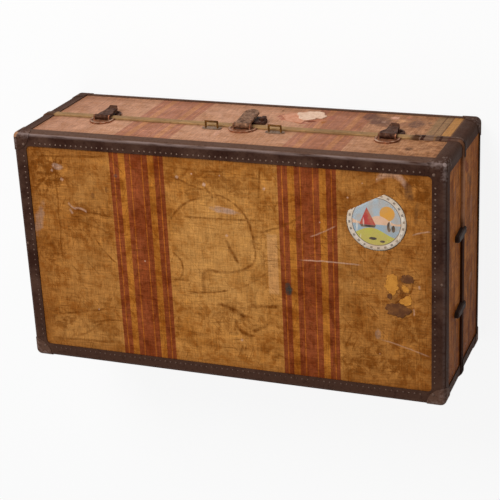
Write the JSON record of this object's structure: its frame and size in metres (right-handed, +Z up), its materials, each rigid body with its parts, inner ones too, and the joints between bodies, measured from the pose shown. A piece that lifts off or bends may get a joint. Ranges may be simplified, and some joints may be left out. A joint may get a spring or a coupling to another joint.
{
  "type": "travel trunk",
  "caption": "Flat-sided travel trunk in striped canvas with dark fibre bindings, a rear-hinged lid, a centre lock with hasp and thumb slide, and side catches.",
  "frame": {"origin": "middle of the flat underside that the trunk rests on, midway between the ends and between the lock side and the hinge side of the case", "axes": "+X along the trunk to the user's right, -Y towards the user at the lock side, +Z up out of the lid"},
  "size_m": [0.9276, 0.5389, 0.3063],
  "materials": {
    "boards": "bare basswood",
    "canvas": "varnished striped canvas, scuffed",
    "lining": "pasted cloth lining",
    "binding": "dark vulcanised fibre, worn",
    "corner_cap": "pressed fibre, worn",
    "closing_strip": "dull brassed moulding",
    "loop_brass": "worn brass wire",
    "nickel": "worn nickel plate with rust",
    "dark_steel": "japanned steel, worn"
  },
  "bodies": {
    "base": {"base_panel": "boards", "base_front_board": "boards", "base_back_board": "boards", "base_left_board": "boards", "base_right_board": "boards", "base_canvas": "canvas", "base_lining": "lining", "base_edge_binding": "binding", "base_corner_bindings": "binding", "base_corner_caps": "corner_cap", "base_closing_strip": "closing_strip", "base_dust_lip": "boards", "lock_case": "nickel", "left_catch_keeper": "nickel", "right_catch_keeper": "nickel", "hinge_base_leaves": "nickel", "hinge_pins": "nickel", "corner_clamps": "dark_steel"},
    "lid": {"lid_panel": "boards", "lid_front_board": "boards", "lid_back_board": "boards", "lid_left_board": "boards", "lid_right_board": "boards", "lid_canvas": "canvas", "lid_lining": "lining", "lid_edge_binding": "binding", "lid_corner_bindings": "binding", "lid_corner_caps": "corner_cap", "lid_closing_strip": "closing_strip", "lock_hasp_plate": "nickel", "lock_hasp_pin": "nickel", "left_catch_plate": "nickel", "left_catch_pin": "nickel", "right_catch_plate": "nickel", "right_catch_pin": "nickel", "handle_loops": "loop_brass", "handle_loop_plates": "nickel", "end_guides": "dark_steel", "hinge_lid_leaves": "nickel"},
    "lock_hasp": {"lock_hasp": "nickel", "lock_staple": "nickel"},
    "left_catch": {"left_catch_hasp": "nickel"},
    "right_catch": {"right_catch_hasp": "nickel"},
    "lock_slide": {"lock_slide": "nickel"}
  },
  "joints": [
    {"name": "lid_hinge", "type": "hinge", "parent": "base", "child": "lid", "pos_m": [0, 0.2569, 0.165], "axis": [-1, 0, 0], "range_deg": [0, 100]},
    {"name": "lock_hasp_swing", "type": "hinge", "parent": "lid", "child": "lock_hasp", "pos_m": [-0.005, -0.2608, 0.181], "axis": [-1, 0, 0], "range_deg": [-7, 93]},
    {"name": "left_catch_swing", "type": "hinge", "parent": "lid", "child": "left_catch", "pos_m": [-0.31, -0.2598, 0.182], "axis": [-1, 0, 0], "range_deg": [-2.2, 97.8]},
    {"name": "right_catch_swing", "type": "hinge", "parent": "lid", "child": "right_catch", "pos_m": [0.31, -0.2598, 0.182], "axis": [-1, 0, 0], "range_deg": [-2.2, 97.8]},
    {"name": "lock_slide_travel", "type": "slide", "parent": "base", "child": "lock_slide", "axis": [1, 0, 0], "range_m": [0, 0.006]}
  ]
}
